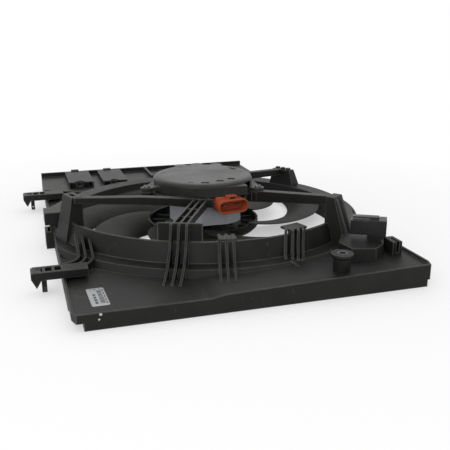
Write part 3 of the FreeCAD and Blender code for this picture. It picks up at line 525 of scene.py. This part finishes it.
def separate_places(node, top):
    """Middle of each loose solid of a CAD node, at one height."""
    mesh = part[node].data
    corners = {}
    for vertex in mesh.vertices:
        key = (round(vertex.co.x / screw_cell), round(vertex.co.y / screw_cell))
        near = [k for k in corners if abs(k[0] - key[0]) <= 1 and abs(k[1] - key[1]) <= 1]
        corners.setdefault(near[0] if near else key, []).append(vertex.co)
    places = []
    for found in corners.values():
        xs = [c.x for c in found]
        ys = [c.y for c in found]
        places.append(((min(xs) + max(xs)) / 2, (min(ys) + max(ys)) / 2, top))
    return places


def screws(node, head_radius, head_height, socket_radius, shank_radius):
    """Detailed screws on the places of a CAD node's plain ones."""
    low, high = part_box(node)
    seat = high.z - head_height
    mesh = bpy.data.meshes.new(node + "_places")
    mesh.from_pydata(separate_places(node, seat), [], [])
    holder = bpy.data.objects.new(node + "_places", mesh)
    bpy.context.scene.collection.objects.link(holder)
    change = holder.modifiers.new("Socket heads", "NODES")
    change.node_group = socket_heads
    sizes = {"Head radius": head_radius, "Head height": head_height, "Socket radius": socket_radius,
             "Shank radius": shank_radius, "Shank length": seat - low.z, "Finish": zinc}
    for socket in socket_heads.interface.items_tree:
        if socket.name in sizes:
            change[socket.identifier] = sizes[socket.name]
    shape = holder.evaluated_get(bpy.context.evaluated_depsgraph_get())
    plain = bpy.data.meshes.new_from_object(shape)
    holder.modifiers.clear()
    bpy.data.objects.remove(holder)
    piece = bpy.data.objects.new("detailed_" + node, plain)
    bpy.context.scene.collection.objects.link(piece)
    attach(piece, "shroud")
    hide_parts(node)


screws("ear_screws", head_radius=0.0060, head_height=0.0030, socket_radius=0.0026,
       shank_radius=0.0025)
screws("cover_screws", head_radius=0.0032, head_height=0.0016, socket_radius=0.0014,
       shank_radius=0.0015)

# ---- Sockets ---------------------------------------------------------------------
# The motor's oval supply socket is moulded in orange-red polyester, with tinned blades.
# The harness socket on the corner pedestal is plain black, with six tinned pins.
socket_orange = moulded_plastic("Orange polyester", (0.26, 0.050, 0.020, 1), (0.62, 0.22, 0.12, 1), 0.38,
                                grain_scale=500.0, grain_depth=0.00005, dust=0.15, rub_and_highlight=0.6)
dress(socket_orange, "power_connector")
socket_black = moulded_plastic("Socket polyamide", (0.012, 0.012, 0.013, 1), rubbed_and_highlight_grey, 0.33,
                               grain_scale=500.0, grain_depth=0.00005, dust=0.3, rub_and_highlight=0.6)
dress(socket_black, "side_connector")
tin = mottled_metal("Tin plating", (0.62, 0.62, 0.60, 1), 0.22, 1200.0, 0.00002)
dress(tin, "power_terminals", "signal_pins", "side_connector_pins")

# ---- Label -----------------------------------------------------------------------
# A silver polyester label with rounded corners lies on the near corner. Its print is left
# as plain bars, which stand a hair above the film.
label_width, label_length, label_turn = 0.020, 0.052, 2.0
corner_radius = 0.0025
bar_height = 0.00005
line_pitch, block_pitch, stripe_pitch = 0.0031, 0.0075, 0.009
film_low, film_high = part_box("label")
film_middle = (film_low + film_high) / 2
label_silver = mottled_metal("Label film", (0.34, 0.345, 0.35, 1), 0.5, 200.0, 0.00002)
label_ink = moulded_plastic("Label ink", (0.05, 0.05, 0.055, 1), rubbed_and_highlight_grey, 0.6,
                            grain_scale=900.0, grain_depth=0.00001, dust=0.2, rub_and_highlight=0.0)


def label_point(across, along, height):
    """A place on the label, given from its middle, as a place on the part."""
    turn = radians(label_turn)
    return (film_middle.x + across * cos(turn) - along * sin(turn),
            film_middle.y + across * sin(turn) + along * cos(turn), height)


def slab(outline, low, high):
    """Vertices and faces of an upright slab over a plan outline."""
    count = len(outline)
    points = [label_point(x, y, low) for x, y in outline] + [label_point(x, y, high) for x, y in outline]
    sides = [(i, (i + 1) % count, (i + 1) % count + count, i + count) for i in range(count)]
    return points, [tuple(reversed(range(count))), tuple(range(count, 2 * count))] + sides


def rounded_outline(width, length, radius, steps=6):
    """Corners of a rounded rectangle, anticlockwise from the right side."""
    points = []
    for quarter, (sx, sy) in enumerate(((1, 1), (-1, 1), (-1, -1), (1, -1))):
        for step in range(steps + 1):
            angle = radians(90 * quarter + 90 * step / steps)
            points.append((sx * (width / 2 - radius) + radius * cos(angle),
                           sy * (length / 2 - radius) + radius * sin(angle)))
    return points


def bar(x, y, width, length):
    """Corners of one printed bar about a place on the label."""
    return [(x - width / 2, y - length / 2), (x + width / 2, y - length / 2),
            (x + width / 2, y + length / 2), (x - width / 2, y + length / 2)]


def joined_slabs(name, outlines, low, high, material):
    """One mesh of slabs that rides on the shroud."""
    points, faces = [], []
    for outline in outlines:
        more_points, more_faces = slab(outline, low, high)
        faces += [tuple(i + len(points) for i in face) for face in more_faces]
        points += more_points
    mesh = bpy.data.meshes.new(name)
    mesh.from_pydata(points, [], faces)
    mesh.materials.append(material)
    piece = bpy.data.objects.new(name, mesh)
    bpy.context.scene.collection.objects.link(piece)
    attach(piece, "shroud")
    return piece


label_film = joined_slabs("label_sheet", [rounded_outline(label_width, label_length, corner_radius)],
                          film_low.z, film_high.z, label_silver)
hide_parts("label")
lines = [bar(0.0035, row * line_pitch - 0.019, 0.0052, 0.0012 + 0.0006 * (row % 3))
         for row in range(13)]
blocks = [bar(-0.0035, row * block_pitch - 0.0165, 0.0030, 0.0050) for row in range(4)]
stripes = [bar(0.0078, row * stripe_pitch - 0.018, 0.0014, 0.0060) for row in range(5)]
end_marks = [bar(side * 0.0050, 0.0225, 0.0030, 0.0016) for side in (-1, 0, 1)]
joined_slabs("label_bars", lines + blocks + stripes + end_marks, film_high.z,
             film_high.z + bar_height, label_ink)

# ---- Floor and studio ------------------------------------------------------------
# A white sheet carries the part and takes its soft shadow. A painted white glow is mixed into
# the sheet everywhere, 0.45 of it near the part, which lightens that shadow by almost half and
# also lights the part; away from the part it grows to a plain white glow. The room beyond
# shows white to the eye, to gloss and through clear pieces, and three soft lamps light the
# part from above, behind and in front.
nut_low, nut_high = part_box("hub_nut")
axis = (nut_low + nut_high) / 2
floor_drop, floor_reach = 0.0005, 60.0
glow_from, glow_full, least_glow = 0.36, 0.75, 0.45


def studio_floor():
    """Wide white sheet mixed with a painted glow: 0.45 of it near the part's middle, all glow away from
    it.
    """
    mesh = bpy.data.meshes.new("studio_floor")
    corners = [(floor_reach * x, floor_reach * y, -floor_drop)
               for x, y in ((-1, -1), (1, -1), (1, 1), (-1, 1))]
    mesh.from_pydata(corners, [], [(0, 1, 2, 3)])
    floor = bpy.data.objects.new("studio_floor", mesh)
    bpy.context.scene.collection.objects.link(floor)
    material = bpy.data.materials.new("White sheet and painted glow")
    material.use_nodes = True
    tree = material.node_tree
    surface = tree.nodes["Principled BSDF"]
    surface.inputs["Base Color"].default_value = (0.96, 0.96, 0.96, 1)
    surface.inputs["Roughness"].default_value = 0.9
    surface.inputs["Specular IOR Level"].default_value = 0.1
    # Painted glow: it lightens the part's shadow on the sheet and lights the part as well.
    white = tree.nodes.new("ShaderNodeEmission")
    place = tree.nodes.new("ShaderNodeTexCoord")
    away = tree.nodes.new("ShaderNodeVectorMath")
    away.operation = "LENGTH"
    fade = tree.nodes.new("ShaderNodeMapRange")
    fade.inputs["From Min"].default_value = glow_from
    fade.inputs["From Max"].default_value = glow_full
    fade.inputs["To Min"].default_value = least_glow
    both = tree.nodes.new("ShaderNodeMixShader")
    tree.links.new(place.outputs["Object"], away.inputs[0])
    tree.links.new(away.outputs["Value"], fade.inputs["Value"])
    tree.links.new(fade.outputs["Result"], both.inputs["Fac"])
    tree.links.new(surface.outputs[0], both.inputs[1])
    tree.links.new(white.outputs[0], both.inputs[2])
    tree.links.new(both.outputs[0], tree.nodes["Material Output"].inputs["Surface"])
    mesh.materials.append(material)
    return floor


studio_floor()


def softbox(name, at, towards, size, watts):
    """A rectangular area lamp at one point, facing another."""
    lamp = bpy.data.lights.new(name, "AREA")
    lamp.shape = "RECTANGLE"
    lamp.size, lamp.size_y = size
    lamp.energy = watts
    holder = bpy.data.objects.new(name, lamp)
    holder.location = at
    holder.rotation_euler = (Vector(towards) - Vector(at)).to_track_quat("-Z", "Y").to_euler()
    bpy.context.scene.collection.objects.link(holder)


softbox("overhead softbox", at=(0.0, 0.1, 1.6), towards=(0, 0, 0), size=(2.2, 2.2), watts=4)
softbox("back softbox", at=(0.2, 2.2, 1.1), towards=(0, 0, 0.05), size=(2.6, 1.2), watts=9)
softbox("front softbox", at=(-1.2, -1.8, 0.9), towards=(0, 0, 0.05), size=(1.6, 1.0), watts=17)


def white_room(strength):
    """A room that lights the part at this strength and shows plain white to eye and gloss."""
    world = bpy.data.worlds.new("White room")
    world.use_nodes = True
    tree = world.node_tree
    bpy.context.scene.world = world
    light = tree.nodes["Background"]
    light.inputs["Color"].default_value = (1, 1, 1, 1)
    light.inputs["Strength"].default_value = strength
    shown = tree.nodes.new("ShaderNodeBackground")
    shown.inputs["Color"].default_value = (1, 1, 1, 1)
    path = tree.nodes.new("ShaderNodeLightPath")
    seen = tree.nodes.new("ShaderNodeMath")
    seen.operation = "ADD"
    seen_all = tree.nodes.new("ShaderNodeMath")
    seen_all.operation = "ADD"
    seen_all.use_clamp = True
    choice = tree.nodes.new("ShaderNodeMixShader")
    tree.links.new(path.outputs["Is Camera Ray"], seen.inputs[0])
    tree.links.new(path.outputs["Is Glossy Ray"], seen.inputs[1])
    tree.links.new(seen.outputs[0], seen_all.inputs[0])
    tree.links.new(path.outputs["Is Transmission Ray"], seen_all.inputs[1])
    tree.links.new(seen_all.outputs[0], choice.inputs["Fac"])
    tree.links.new(light.outputs[0], choice.inputs[1])
    tree.links.new(shown.outputs[0], choice.inputs[2])
    tree.links.new(choice.outputs[0], tree.nodes["World Output"].inputs["Surface"])


white_room(strength=0.7)

# ---- Camera ----------------------------------------------------------------------
# A 53 mm lens stands about a metre from the fan's axis, off the near left corner, and looks
# down on the part a little.
camera_left, camera_near, camera_height = 0.2687, 0.969, 0.312
look_down, look_right = 17.05, 17.47
lens = bpy.data.cameras.new("camera")
lens.lens = 53.0
lens.sensor_width = 36.0
camera = bpy.data.objects.new("camera", lens)
camera.location = (axis.x - camera_left, axis.y - camera_near, camera_height)
camera.rotation_euler = (radians(90 - look_down), 0, radians(-look_right))
bpy.context.scene.collection.objects.link(camera)
bpy.context.scene.camera = camera
bpy.context.scene.view_settings.view_transform = "Standard"
